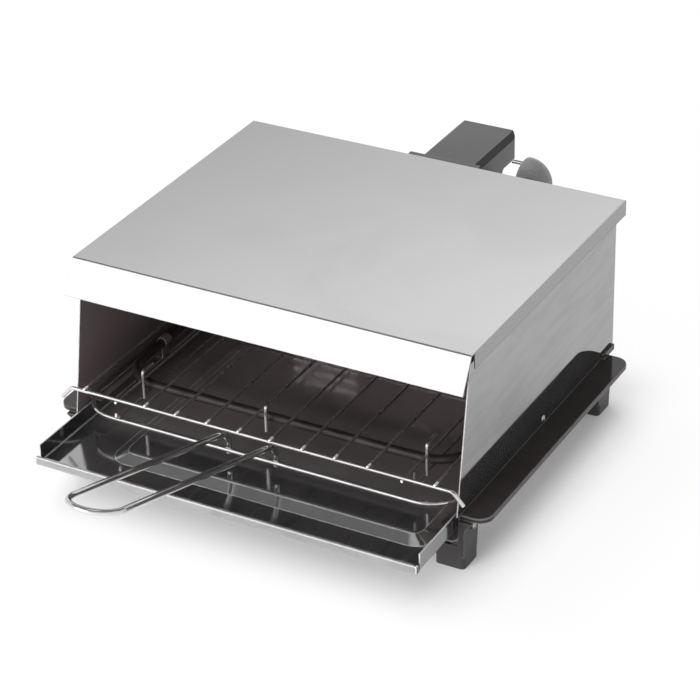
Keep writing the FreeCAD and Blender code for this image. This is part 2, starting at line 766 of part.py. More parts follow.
def terminal_block():
    """Three-way screw terminal inside the box."""
    y0, y1, z0 = block_y, block_y + block_deep, block_z
    middle = (y0 + y1) / 2.0
    block = box((box_left + 8.0, y0, z0), (box_right - 8.0, y1, z0 + block_high))
    for i in range(3):
        x = way_x(i)
        block = block.cut(rod((x, middle, z0 + 4.0), (x, middle, z0 + block_high + 2), 2.6))
        block = block.cut(rod((x, y0 - 1, z0 + 3.6), (x, y1 + 1, z0 + 3.6), 1.7))
    return block


def terminal_screws():
    y = block_y + block_deep / 2.0
    return Part.makeCompound([rod((way_x(i), y, block_z + 5.5), (way_x(i), y, block_z + 8.4), 2.6)
                              for i in range(3)])


def regulator():
    """Regulator body in the box's lower part, bored for the knob's shaft."""
    body = box((reg_left, knob_y - reg_half, knob_z - 17.0), (reg_right, knob_y + reg_half, box_step + 1.5))
    nose = rod((reg_right - 1, knob_y, knob_z), (box_right - box_wall, knob_y, knob_z), shaft_r + 4.0)
    nose = nose.common(box((reg_left, knob_y - 20, 90.0), (reg_right + 9, knob_y + 20, box_top - box_wall)))
    bore = rod((reg_left + 6.0, knob_y, knob_z), (box_right + 2, knob_y, knob_z), shaft_r + shaft_gap)
    return body.fuse(nose).cut(bore)


def thermal_fuse():
    y, z, x = block_y + 26.0, block_z + 5.0, box_left
    body = rod((x + 8, y, z), (x + 20, y, z), 2.2)
    return body.fuse(rod((x + 5, y, z), (x + 23, y, z), 0.7))


def internal_leads():
    """Leads from the heater ends up the duct and to the terminal block."""
    tail = back_face + heater_tail
    left, right = heater_end_left, heater_end_right
    entry = block_z + 3.6
    low = wire([(left, tail, low_heater_z), (left, tail + 10.0, low_heater_z),
                (left - 3, tail + 10.0, box_step - 2), (left - 3, block_y - 5.0, entry),
                (way_x(0), block_y + 1.0, entry)], 1.1, [4.0, 6.0, 2.5])
    high = wire([(right, tail, up_heater_z), (right, tail + 8.0, up_heater_z),
                 (way_x(2), block_y - 6.0, entry), (way_x(2), block_y + 1.0, entry)], 1.1, [2.0, 2.0])
    return Part.makeCompound([low, high])


def cord_gland():
    """Bush in the box's underside where the mains lead enters."""
    x, y, z, top = gland_x, gland_y, box_step, box_step + box_wall + 2.2
    barrel = rod((x, y, z - 8.0), (x, y, top), gland_r)
    rim = rod((x, y, z - 3.0), (x, y, z), gland_r + 1.6)
    nut = rod((x, y, z + box_wall), (x, y, top), gland_r + 1.2)
    bore = rod((x, y, z - 9.0), (x, y, top + 1), cord_hole_r)
    return barrel.multiFuse([rim, nut]).cut(bore)


def knob():
    """Domed grip turning about X, with flutes round its outer end."""
    face, out, r = knob_face, knob_face + knob_long, knob_r
    profile = Part.Wire([
        Part.makeLine(V(face, 0, 0), V(face, 0, r - 1.0)),
        Part.Arc(V(face, 0, r - 1.0), V(face + 0.4, 0, r - 0.2), V(face + 1.4, 0, r)).toShape(),
        Part.makeLine(V(face + 1.4, 0, r), V(face + knob_band, 0, r)),
        Part.Arc(V(face + knob_band, 0, r), V(out - 5.0, 0, r * 0.7), V(out, 0, r * 0.3)).toShape(),
        Part.makeLine(V(out, 0, r * 0.3), V(out, 0, 0)),
        Part.makeLine(V(out, 0, 0), V(face, 0, 0))])
    body = Part.Face(profile).revolve(V(0, 0, 0), V(1, 0, 0), 360)
    for i in range(knob_rib_count):
        flute = rod((face + 6.5, 0, r + 0.3), (out + 1, 0, r * 0.62), 1.0)
        flute.rotate(V(0, 0, 0), V(1, 0, 0), 360.0 / knob_rib_count * (i + 0.5))
        body = body.cut(flute)
    body = body.cut(rod((face - 1, 0, 0), (face + 12.0, 0, 0), shaft_r))
    body = body.cut(rod((face - 1, pin_y, pin_out), (face + 4.0, pin_y, pin_out), pin_r))
    body.translate(V(0, knob_y, knob_z))
    return body


def knob_shaft():
    body = rod((reg_left + 6.4, knob_y, knob_z), (knob_face + 11.8, knob_y, knob_z), shaft_r)
    collar = rod((knob_face - 4.0, knob_y, knob_z), (knob_face - 0.02, knob_y, knob_z), shaft_r + 1.6)
    return body.fuse(collar)


def stop_pin():
    y, z = knob_y + pin_y, knob_z + pin_out
    return rod((knob_face - pin_long, y, z), (knob_face + 3.8, y, z), pin_r)


def build():
    os.makedirs("parts", exist_ok=True)
    nodes = {
        "base_pan": base_pan(),
        "foot_front_left": foot(True, False),
        "foot_front_right": foot(True, True),
        "foot_rear_left": foot(False, False),
        "foot_rear_right": foot(False, True),
        "foot_screws": foot_screws(),
        "tray_runner_left": tray_runner(False),
        "tray_runner_right": tray_runner(True),
        "hood_top": hood_top(),
        "hood_side_left": hood_side(False),
        "hood_side_right": hood_side(True),
        "hood_back": hood_back(),
        "hood_screws": hood_screws(),
        "rack_ledge_left": rack_ledge(False),
        "rack_ledge_right": rack_ledge(True),
        "drip_tray": drip_tray(),
        "rack_front_bar": rack_front_bar(),
        "rack_rear_bar": rack_rear_bar(),
        "rack_rods": rack_rods(),
        "rack_side_wires": rack_side_wires(),
        "rack_legs": rack_legs(),
        "rack_lower_loop": rack_lower_loop(),
        "rack_handle": rack_handle(),
        "lower_heater": lower_heater(),
        "upper_heater": upper_heater(),
        "lower_heater_bushes": heater_bushes(low_heater_z),
        "upper_heater_bushes": heater_bushes(up_heater_z),
        "upper_heater_stays": heater_stays(),
        "lower_heater_brackets": heater_brackets(),
        "heat_reflector": reflector(),
        "terminal_box": terminal_box(),
        "wiring_duct": wiring_duct(),
        "back_screws": back_screws(),
        "terminal_block": terminal_block(),
        "terminal_screws": terminal_screws(),
        "regulator": regulator(),
        "thermal_fuse": thermal_fuse(),
        "internal_leads": internal_leads(),
        "cord_gland": cord_gland(),
        "regulator_knob": knob(),
        "knob_shaft": knob_shaft(),
        "knob_stop_pin": stop_pin(),
    }
    for name, shape in nodes.items():
        shape.translate(V(0, -centre_y, 0))
        if not shape.isValid():
            print("not valid:", name)
        shape.exportStep("parts/" + name + ".step")
        print(name, len(shape.Solids), round(shape.Volume, 1))
    print("origin moved by", round(-centre_y, 3))


build()
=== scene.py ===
import json
import bpy
import bmesh
from mathutils import Matrix, Vector


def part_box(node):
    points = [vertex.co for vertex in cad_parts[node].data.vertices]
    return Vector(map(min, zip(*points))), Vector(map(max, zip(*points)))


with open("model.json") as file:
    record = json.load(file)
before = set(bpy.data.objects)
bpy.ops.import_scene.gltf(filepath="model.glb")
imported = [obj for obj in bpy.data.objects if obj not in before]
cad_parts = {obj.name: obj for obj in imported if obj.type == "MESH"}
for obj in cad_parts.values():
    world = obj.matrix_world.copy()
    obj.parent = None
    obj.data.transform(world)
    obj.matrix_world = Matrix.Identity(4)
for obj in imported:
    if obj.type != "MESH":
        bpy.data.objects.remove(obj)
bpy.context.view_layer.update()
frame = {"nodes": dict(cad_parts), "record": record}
nodes = frame["nodes"]
print("frame loaded,", len(nodes), "nodes")

# where the photograph was taken from, in metres
shot = dict(place=(0.77688, -1.319242, 0.97379), lens=134.17, near=0.05,
            right=(0.87713269, 0.47968526, -0.02324438),
            up=(-0.22210138, 0.44808779, 0.86596091),
            back=(0.42580421, -0.75440002, 0.49957121))

# lamps: place and size in metres, power in watts; all of them look at the same spot
lamps = {
    "key": dict(place=(-0.95, 0.75, 1.7), power=20, size=1.1),
    "front": dict(place=(-0.4, -1.6, 0.38), power=30, size=0.7),
    "top": dict(place=(0.1, 0.1, 2.2), power=13, size=1.6),
}
lampTarget = (0, 0, 0.05)

# the floor turns into the plain white backdrop a hand's width away from the base
floor = dict(colour=(0.93, 0.93, 0.93), half=6.0, middle=(0.0, 0.05, 0.0),
             reach=(0.15, 0.14, 1.0), fadeFrom=-0.008, fadeTo=0.05, nearShare=0.12,
             farShare=0.85, mirrorShare=0.35)

# what lights the grill, and what its bright metal mirrors: levels and the directions they lie in
sky = dict(light=0.5, plain=1.0,
           ceiling=0.24, ceilingHeight=(0.52, 0.58), zenith=0.8, zenithHeight=(0.94, 0.985),
           rearLevel=0.92, rearLeast=0.45, rearMost=1.35, rearHeight=0.46, rearRise=6.0,
           rearSide=-0.43, rearTurn=1.5, rearEdge=(-0.28, -0.05), rearShade=0.2,
           rearDepth=(0.2, 0.6), rearAbove=(0.3, 0.4),
           box=1.9, boxWay=(-0.49, -0.87, 0.0), boxEdge=(0.86, 0.93), boxLow=(-0.08, 0.06),
           boxHigh=(0.55, 0.75))


# camera and lamps
def makeCamera():
    data = bpy.data.cameras.new("camera")
    data.lens = shot["lens"]
    data.clip_start = shot["near"]
    camera = bpy.data.objects.new("camera", data)
    axes = Matrix((shot["right"], shot["up"], shot["back"])).transposed()
    camera.matrix_world = Matrix.Translation(shot["place"]) @ axes.to_4x4()
    bpy.context.collection.objects.link(camera)
    bpy.context.scene.camera = camera
    bpy.context.scene.view_settings.view_transform = "Standard"


def makeLamp(name):
    data = bpy.data.lights.new(name, "AREA")
    data.energy = lamps[name]["power"]
    data.size = lamps[name]["size"]
    lamp = bpy.data.objects.new(name, data)
    place = Vector(lamps[name]["place"])
    lamp.location = place
    lamp.rotation_euler = (Vector(lampTarget) - place).to_track_quat("-Z", "Y").to_euler()
    lamp.visible_glossy = False
    bpy.context.collection.objects.link(lamp)


# short words for node trees: a term is a number, a colour or another node's output
def feed(tree, socket, term):
    if isinstance(term, bpy.types.NodeSocket):
        tree.links.new(term, socket)
    else:
        socket.default_value = term


def node(tree, kind, **settings):
    made = tree.nodes.new("ShaderNode" + kind)
    for key, value in settings.items():
        setattr(made, key, value)
    return made


def calc(tree, operation, *terms):
    made = node(tree, "Math", operation=operation)
    for socket, term in zip(made.inputs, terms):
        feed(tree, socket, term)
    return made.outputs[0]


def vector(tree, operation, *terms):
    made = node(tree, "VectorMath", operation=operation)
    for socket, term in zip(made.inputs, terms):
        feed(tree, socket, term)
    return made.outputs["Value" if operation in ("DOT_PRODUCT", "LENGTH") else "Vector"]


def between(tree, term, low, high, start=0.0, end=1.0):
    # a soft step: start below low, end above high
    made = node(tree, "MapRange", interpolation_type="SMOOTHSTEP")
    for name, value in (("Value", term), ("From Min", low), ("From Max", high),
                        ("To Min", start), ("To Max", end)):
        feed(tree, made.inputs[name], value)
    return made.outputs[0]


def mixed(tree, share, first, second):
    made = node(tree, "Mix", data_type="FLOAT")
    feed(tree, made.inputs[0], share)
    feed(tree, made.inputs["A"], first)
    feed(tree, made.inputs["B"], second)
    return made.outputs["Result"]


def mixedColour(tree, share, first, second):
    # by number, since the colour sockets share their names with others
    made = node(tree, "Mix", data_type="RGBA")
    feed(tree, made.inputs[0], share)
    feed(tree, made.inputs[6], first)
    feed(tree, made.inputs[7], second)
    return made.outputs[2]


def dimmed(tree, colour, factor):
    made = node(tree, "VectorMath", operation="SCALE")
    linked = isinstance(colour, bpy.types.NodeSocket)
    feed(tree, made.inputs[0], colour if linked else colour[:3])
    feed(tree, made.inputs["Scale"], factor)
    return made.outputs[0]


def noise(tree, place, scale, detail=4.0, roughness=0.55, distortion=0.0):
    made = node(tree, "TexNoise")
    for name, term in (("Vector", place), ("Scale", scale), ("Detail", detail),
                       ("Roughness", roughness), ("Distortion", distortion)):
        feed(tree, made.inputs[name], term)
    return made.outputs["Fac"]


def axesOf(tree, place):
    made = node(tree, "SeparateXYZ")
    feed(tree, made.inputs[0], place)
    return made.outputs


# the floor and the surroundings
def makeFloor():
    mesh = bpy.data.meshes.new("floor")
    work = bmesh.new()
    bmesh.ops.create_grid(work, x_segments=1, y_segments=1, size=floor["half"])
    work.to_mesh(mesh)
    work.free()
    plane = bpy.data.objects.new("floor", mesh)
    bpy.context.collection.objects.link(plane)
    mat = bpy.data.materials.new("paleFloor")
    mat.use_nodes = True
    tree = mat.node_tree
    tree.nodes.clear()
    rays = node(tree, "LightPath").outputs
    place = node(tree, "TexCoord").outputs["Object"]
    aside = vector(tree, "ABSOLUTE", vector(tree, "SUBTRACT", place, floor["middle"]))
    beyond = vector(tree, "SUBTRACT", aside, floor["reach"])
    beyond = vector(tree, "MAXIMUM", beyond, (0.0, 0.0, 0.0))
    fade = between(tree, vector(tree, "LENGTH", beyond), floor["fadeFrom"], floor["fadeTo"],
                   floor["nearShare"], floor["farShare"])
    seen = calc(tree, "MAXIMUM", rays["Is Camera Ray"], rays["Is Transmission Ray"])
    mirrored = calc(tree, "MULTIPLY", rays["Is Glossy Ray"], floor["mirrorShare"])
    share = calc(tree, "MAXIMUM", calc(tree, "MULTIPLY", seen, fade), mirrored)
    matt = node(tree, "BsdfDiffuse")
    matt.inputs["Color"].default_value = floor["colour"] + (1,)
    glow = node(tree, "Emission")
    both = node(tree, "MixShader")
    feed(tree, both.inputs[0], share)
    feed(tree, both.inputs[1], matt.outputs[0])
    feed(tree, both.inputs[2], glow.outputs[0])
    feed(tree, node(tree, "OutputMaterial").inputs[0], both.outputs[0])
    mesh.materials.append(mat)


def mirroredLevel(tree):
    # how bright the surroundings look in the metal: a large soft box at the front left,
    # a paler sky low at the rear, a darker ceiling, and a lighter spot straight above
    way = node(tree, "TexCoord").outputs["Generated"]
    x, y, z = axesOf(tree, way)
    rise = calc(tree, "MULTIPLY", calc(tree, "SUBTRACT", z, sky["rearHeight"]), sky["rearRise"])
    turn = calc(tree, "MULTIPLY", calc(tree, "SUBTRACT", x, sky["rearSide"]), sky["rearTurn"])
    rear = calc(tree, "ADD", calc(tree, "ADD", rise, turn), sky["rearLevel"])
    rear = calc(tree, "MAXIMUM", rear, sky["rearLeast"])
    rear = calc(tree, "MINIMUM", rear, sky["rearMost"])
    rear = mixed(tree, between(tree, x, *sky["rearEdge"]), rear, sky["rearShade"])
    atRear = calc(tree, "MULTIPLY", between(tree, y, *sky["rearDepth"]),
                  between(tree, z, *sky["rearAbove"]))
    level = mixed(tree, atRear, sky["plain"], rear)
    level = mixed(tree, between(tree, z, *sky["ceilingHeight"]), level, sky["ceiling"])
    level = mixed(tree, between(tree, z, *sky["zenithHeight"]), level, sky["zenith"])
    flat = vector(tree, "NORMALIZE", vector(tree, "MULTIPLY", way, (1.0, 1.0, 0.0)))
    aside = vector(tree, "DOT_PRODUCT", flat, sky["boxWay"])
    high = calc(tree, "MULTIPLY", between(tree, z, *sky["boxLow"]),
                between(tree, z, *sky["boxHigh"], 1.0, 0.0))
    inBox = calc(tree, "MULTIPLY", between(tree, aside, *sky["boxEdge"]), high)
    return mixed(tree, inBox, level, sky["box"])


def makeWorld():
    world = bpy.data.worlds.new("studio")
    bpy.context.scene.world = world
    world.use_nodes = True
    tree = world.node_tree
    tree.nodes.clear()
    rays = node(tree, "LightPath").outputs
    level = mixed(tree, rays["Is Glossy Ray"], sky["light"], mirroredLevel(tree))
    seen = calc(tree, "MAXIMUM", rays["Is Camera Ray"], rays["Is Transmission Ray"])
    level = mixed(tree, seen, level, sky["plain"])
    light = node(tree, "Background")
    light.inputs["Color"].default_value = (1, 1, 1, 1)
    feed(tree, light.inputs["Strength"], level)
    feed(tree, node(tree, "OutputWorld").inputs[0], light.outputs[0])


# shared effects, as groups that give out masks, colours and heights
smears = dict(detail=5.0, roughness=0.6, distortion=0.8, shown=(0.34, 0.7))
rolled = dict(scale=1300.0, detail=3.0, roughness=0.6)
# edges: a painted highlight that also stands for wear, and painted shade on edges that face down
edgeWearAndShine = dict(samples=4, bend=(0.955, 0.995), patches=90.0, patchShown=(0.25, 0.6),
              leastPatch=0.55, facing=(-0.5, 0.1), leastTone=0.25, metallic=0.25,
              wire=0.0004, sheet=0.0013, coat=0.001)  # the last three: widths in metres
dusty = dict(scale=26.0, detail=6.0, toneShown=(0.3, 0.75), tone=(0.88, 1.2),
             roughShown=(0.2, 0.8), rough=(0.36, 0.52))


def newGroup(name, inputs, outputs):
    group = bpy.data.node_groups.new(name, "ShaderNodeTree")
    kinds = {"v": "NodeSocketVector", "f": "NodeSocketFloat", "c": "NodeSocketColor"}
    for label, kind in inputs:
        group.interface.new_socket(label, in_out="INPUT", socket_type=kinds[kind])
    for label, kind in outputs:
        group.interface.new_socket(label, in_out="OUTPUT", socket_type=kinds[kind])
    given = group.nodes.new("NodeGroupInput")
    given.name = "given"
    result = group.nodes.new("NodeGroupOutput")
    result.name = "result"
    return group, given.outputs, result.inputs


def handlingMarks():
    # faint smears, which dull the gloss and darken the tone a little
    group, given, result = newGroup("handlingMarks", [("Place", "v"), ("Size", "f")],
                                    [("Mask", "f")])
    smear = noise(group, given["Place"], given["Size"], smears["detail"], smears["roughness"],
                  smears["distortion"])
    feed(group, result["Mask"], between(group, smear, *smears["shown"]))
    return group


def rollingGrain():
    # fine lines left by rolling and brushing, longest along one axis
    group, given, result = newGroup(
        "rollingGrain", [("Place", "v"), ("Stretch", "v"), ("Scale", "f")], [("Height", "f")])
    shape = vector(group, "MULTIPLY", given["Place"], given["Stretch"])
    lines = noise(group, shape, given["Scale"], rolled["detail"], rolled["roughness"])
    feed(group, result["Height"], lines)
    return group


def edgeGleam():
    # folded and cut edges: a painted highlight that also stands for wear, lighter where they
    # face up, with painted shade where they face down
    group, given, result = newGroup("edgeGleam", [("Place", "v"), ("Size", "f")],
                                    [("Mask", "f"), ("Tone", "f")])
    soft = node(group, "Bevel", samples=edgeWearAndShine["samples"])
    feed(group, soft.inputs["Radius"], given["Size"])
    facing = node(group, "NewGeometry").outputs["Normal"]
    same = vector(group, "DOT_PRODUCT", soft.outputs[0], facing)
    broken = between(group, noise(group, given["Place"], edgeWearAndShine["patches"]),
                     *edgeWearAndShine["patchShown"], edgeWearAndShine["leastPatch"], 1.0)
    bent = between(group, same, *edgeWearAndShine["bend"], 1.0, 0.0)
    feed(group, result["Mask"], calc(group, "MULTIPLY", bent, broken))
    # painted light and shade by the way an edge faces: lighter facing up, darker facing down
    upward = axesOf(group, soft.outputs[0])[2]
    tone = between(group, upward, *edgeWearAndShine["facing"], edgeWearAndShine["leastTone"], 1.0)
    feed(group, result["Tone"], tone)
    return group


def mouldedSkin():
    # the pebbled skin of moulded plastic, with a little dust on it
    group, given, result = newGroup(
        "mouldedSkin", [("Place", "v"), ("Scale", "f"), ("Colour", "c")],
        [("Height", "f"), ("Colour", "c"), ("Roughness", "f")])
    pebble = node(group, "TexVoronoi", feature="SMOOTH_F1")
    feed(group, pebble.inputs["Vector"], given["Place"])
    feed(group, pebble.inputs["Scale"], given["Scale"])
    feed(group, result["Height"], pebble.outputs["Distance"])
    dust = noise(group, given["Place"], dusty["scale"], dusty["detail"])
    tone = between(group, dust, *dusty["toneShown"], *dusty["tone"])
    feed(group, result["Colour"], dimmed(group, given["Colour"], tone))
    feed(group, result["Roughness"], between(group, dust, *dusty["roughShown"], *dusty["rough"]))
    return group


groups = {}


def use(tree, name, **terms):
    made = tree.nodes.new("ShaderNodeGroup")
    made.node_tree = groups[name]
    for key, term in terms.items():
        feed(tree, made.inputs[key], term)
    return made.outputs


def newMaterial(name):
    mat = bpy.data.materials.new(name)
    mat.use_nodes = True
    tree = mat.node_tree
    tree.nodes.clear()
    shader = node(tree, "BsdfPrincipled")
    feed(tree, node(tree, "OutputMaterial").inputs[0], shader.outputs[0])
    return mat, tree, shader, node(tree, "TexCoord").outputs["Object"]


def addBump(tree, shader, height, strength, distance=0.0001):
    bump = node(tree, "Bump")
    bump.inputs["Strength"].default_value = strength
    bump.inputs["Distance"].default_value = distance
    feed(tree, bump.inputs["Height"], height)
    feed(tree, shader.inputs["Normal"], bump.outputs[0])


# which faces of the folded hood look inwards, told from the sheet's own place in metres, and
# how far a face has to look forward or sideways to count as such
hood = dict(half=0.1494, top=0.1536, rear=0.1874, slope=-0.5536, front=-0.1389, panelHalf=0.1466,
            forward=-0.3, sideways=(0.6, 0.8))


def insideTop(tree, place):
    x, y, z = axesOf(tree, place)
    beside = calc(tree, "LESS_THAN", calc(tree, "ABSOLUTE", x), hood["half"])
    under = calc(tree, "LESS_THAN", z, hood["top"])
    before = calc(tree, "LESS_THAN", y, hood["rear"])
    visor = calc(tree, "ADD", y, calc(tree, "MULTIPLY", z, hood["slope"]))
    behind = calc(tree, "GREATER_THAN", visor, hood["front"])
    return calc(tree, "MULTIPLY", calc(tree, "MULTIPLY", beside, under),
                calc(tree, "MULTIPLY", before, behind))


def insidePanel(tree, place):
    aside = calc(tree, "ABSOLUTE", axesOf(tree, place)[0])
    return calc(tree, "LESS_THAN", aside, hood["panelHalf"])


def insideBack(tree, place):
    facing = node(tree, "NewGeometry").outputs["Normal"]
    return calc(tree, "LESS_THAN", axesOf(tree, facing)[1], hood["forward"])


def sideways(tree):
    # 1 on faces that look left or right
    facing = node(tree, "NewGeometry").outputs["Normal"]
    return between(tree, calc(tree, "ABSOLUTE", axesOf(tree, facing)[0]), *hood["sideways"])


# bright sheet and wire: colour, how metallic, roughness, smears, grain, and the tone of the
# painted edge highlight, which also stands for wear
metals = {
    "polishedSteel": dict(colour=(0.60, 0.60, 0.60), metallic=1.0, rough=(0.135, 0.16),
                          smear=7.0, tone=0.02, stretch=(0.04, 1, 1), grain=0.10, edge=0.34),
    "sideSteel": dict(colour=(0.32, 0.32, 0.32), metallic=0.9, rough=(0.02, 0.06),
                      smear=11.0, tone=0.08, stretch=(1, 0.05, 1), grain=0.03, edge=0.8),
    "traySteel": dict(colour=(0.44, 0.44, 0.44), metallic=0.93, rough=(0.05, 0.12),
                      smear=16.0, tone=0.18, stretch=(0.05, 1, 1), grain=0.05, edge=0.85),
    "zincSheet": dict(colour=(0.33, 0.33, 0.34), metallic=0.9, rough=(0.3, 0.42),
                      smear=26.0, tone=0.25, stretch=(1, 1, 1), grain=0.2, edge=0.5),
    "backSheet": dict(colour=(0.4, 0.4, 0.41), metallic=0.9, rough=(0.26, 0.38),
                      smear=20.0, tone=0.2, stretch=(1, 1, 0.05), grain=0.12, edge=0.6),
    "reflectorSheet": dict(colour=(0.24, 0.2, 0.2), metallic=0.3, rough=(0.3, 0.45),
                           smear=16.0, tone=0.5, stretch=(0.05, 1, 1), grain=0.15, edge=0.2),
    "zincScrew": dict(colour=(0.42, 0.42, 0.42), metallic=0.9, rough=(0.25, 0.36),
                      smear=60.0, tone=0.3, stretch=(1, 1, 1), grain=0.1, edge=0.7),
    "chromedWire": dict(colour=(0.66, 0.65, 0.65), metallic=0.95, rough=(0.05, 0.14),
                        smear=40.0, tone=0.2, stretch=(1, 1, 1), grain=0.04, edge=0.8),
    "wornWire": dict(colour=(0.27, 0.255, 0.25), metallic=0.5, rough=(0.22, 0.35),
                     smear=50.0, tone=0.35, stretch=(1, 1, 1), grain=0.06, edge=0.95),
    "brassPart": dict(colour=(0.6, 0.45, 0.2), metallic=1.0, rough=(0.2, 0.4),
                      smear=60.0, tone=0.3, stretch=(1, 1, 1), grain=0.1, edge=0.7),
}

# the colour inside the hood, soot together with painted shade for the dark interior, and painted
# shade on the sheets' sides, which are darker than their tops
sootAndShade = dict(colour=(0.26, 0.21, 0.21, 1), metallic=0.1, rough=0.4)
# painted shade: the darker colour of faces that look sideways
shadedSides = dict(colour=(0.27, 0.27, 0.27, 1))

# streaks, a painted highlight line along the cut lower edge of the side panels, a painted
# highlight on the rods' front ends, and the part of the tray under the hood, browned by heat and
# darkened by painted shade: places and widths in metres
streaks = dict(stretch=(1.0, 14.0, 110.0), scale=1.6, detail=2.0, shown=(0.3, 0.62), tone=0.9)
lowerEdgeHighlight = dict(height=(0.0404, 0.0409), share=0.6)
rodTipHighlight = dict(length=0.006, soft=0.002)
trayStainAndShade = dict(depth=(-0.075, -0.03), share=0.8, dulled=0.7)


def metal(name):
    f = metals[name]
    mat, tree, shader, place = newMaterial(name)
    mask = use(tree, "handlingMarks", Place=place, Size=f["smear"])["Mask"]
    width = edgeWearAndShine["wire" if name.endswith("Wire") else "sheet"]
    edgeShineAndWear = use(tree, "edgeGleam", Place=place, Size=width)
    edge = edgeShineAndWear["Mask"]
    grain = use(tree, "rollingGrain", Place=place, Stretch=f["stretch"],
                Scale=rolled["scale"])["Height"]
    colour = f["colour"] + (1,)
    if name == "polishedSteel":
        # painted shade on the faces that look sideways
        colour = mixedColour(tree, sideways(tree), colour, shadedSides["colour"])
    colour = dimmed(tree, colour, between(tree, mask, 0.0, 1.0, 1.0, 1.0 - f["tone"]))
    rough = between(tree, mask, 0.0, 1.0, *f["rough"])
    if name == "sideSteel":
        streak = noise(tree, vector(tree, "MULTIPLY", place, streaks["stretch"]),
                       streaks["scale"], streaks["detail"])
        streak = between(tree, streak, *streaks["shown"], streaks["tone"], 1.0)
        colour = dimmed(tree, colour, streak)
        # painted highlight: a light line along the side panels' lower edge
        lowerEdgeLine = between(tree, axesOf(tree, place)[2], *lowerEdgeHighlight["height"], 1.0, 0.0)
        edge = calc(tree, "MAXIMUM", edge, calc(tree, "MULTIPLY", lowerEdgeLine, lowerEdgeHighlight["share"]))
    if name == "wornWire":
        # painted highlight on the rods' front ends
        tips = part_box("rack_rods")[0][1] + rodTipHighlight["length"]
        tipHighlight = between(tree, axesOf(tree, place)[1], tips - rodTipHighlight["soft"], tips, 1.0, 0.0)
        edge = calc(tree, "MAXIMUM", edge, tipHighlight)
    if name == "traySteel":
        # painted shade on the tray's walls that look sideways
        colour = mixedColour(tree, sideways(tree), colour, shadedSides["colour"])
        # the tray's part under the hood: heat stain and painted shade
        stainedAndShaded = between(tree, axesOf(tree, place)[1], *trayStainAndShade["depth"], 0.0, trayStainAndShade["share"])
        colour = mixedColour(tree, stainedAndShaded, colour, sootAndShade["colour"])
    # painted highlight on the edges, with painted shade where they face down; partly wear
    colour = mixedColour(tree, edge, colour, dimmed(tree, (f["edge"],) * 3, edgeShineAndWear["Tone"]))
    metallic = mixed(tree, edge, f["metallic"], min(f["metallic"], edgeWearAndShine["metallic"]))
    if name == "traySteel":
        kept = calc(tree, "SUBTRACT", 1.0, calc(tree, "MULTIPLY", stainedAndShaded, trayStainAndShade["dulled"]))
        metallic = calc(tree, "MULTIPLY", metallic, kept)
    inside = {"polishedSteel": insideTop, "sideSteel": insidePanel,
              "backSheet": insideBack}.get(name)
    if inside:
        # inside the hood: soot and painted shade in one colour
        sootedAndShaded = inside(tree, place)
        colour = mixedColour(tree, sootedAndShaded, colour, sootAndShade["colour"])
        metallic = mixed(tree, sootedAndShaded, metallic, sootAndShade["metallic"])
        rough = mixed(tree, sootedAndShaded, rough, sootAndShade["rough"])
    feed(tree, shader.inputs["Base Color"], colour)
    feed(tree, shader.inputs["Roughness"], rough)
    feed(tree, shader.inputs["Metallic"], metallic)
    addBump(tree, shader, grain, f["grain"])
    return mat


# black glass enamel with a soft orange-peel surface, greyer on its edges: a painted highlight
# that also stands for wear
glaze = dict(colour=(0.029, 0.0237, 0.0234), ior=1.33, smear=18.0, tone=1.25, rough=(0.05, 0.12),
             edge=(0.3, 0.29, 0.28, 1), peel=240.0, detail=2.0, strength=0.05, depth=0.0002)


def enamel():
    mat, tree, shader, place = newMaterial("blackEnamel")
    mask = use(tree, "handlingMarks", Place=place, Size=glaze["smear"])["Mask"]
    edge = use(tree, "edgeGleam", Place=place, Size=edgeWearAndShine["coat"])["Mask"]
    tone = between(tree, mask, 0.0, 1.0, 1.0, glaze["tone"])
    colour = dimmed(tree, glaze["colour"], tone)
    # inside the panels: soot and painted shade in one colour
    colour = mixedColour(tree, insidePanel(tree, place), colour, sootAndShade["colour"])
    shader.inputs["IOR"].default_value = glaze["ior"]
    # painted highlight on the edges, partly wear
    feed(tree, shader.inputs["Base Color"], mixedColour(tree, edge, colour, glaze["edge"]))
    feed(tree, shader.inputs["Roughness"], between(tree, mask, 0.0, 1.0, *glaze["rough"]))
    peel = noise(tree, place, glaze["peel"], glaze["detail"])
    addBump(tree, shader, peel, glaze["strength"], glaze["depth"])
    return mat


# moulded plastic: colour, size and depth of the pebbles, tone of the painted edge highlight,
# which also stands for wear
plastics = {
    "footPlastic": dict(colour=(0.028, 0.0245, 0.0245), scale=1500.0, depth=0.25, edge=0.11),
    "boxPlastic": dict(colour=(0.085, 0.085, 0.085), scale=1300.0, depth=0.3, edge=0.22),
    "greyPlastic": dict(colour=(0.2, 0.2, 0.203), scale=1700.0, depth=0.2, edge=0.26),
    "darkSheet": dict(colour=(0.22, 0.18, 0.18), scale=900.0, depth=0.06, edge=0.14),
}

# painted shade: the slanted edge of the terminal box is darker than its faces
chamferShade = dict(slant=(0.3, 0.42), colour=(0.02, 0.018, 0.018, 1))


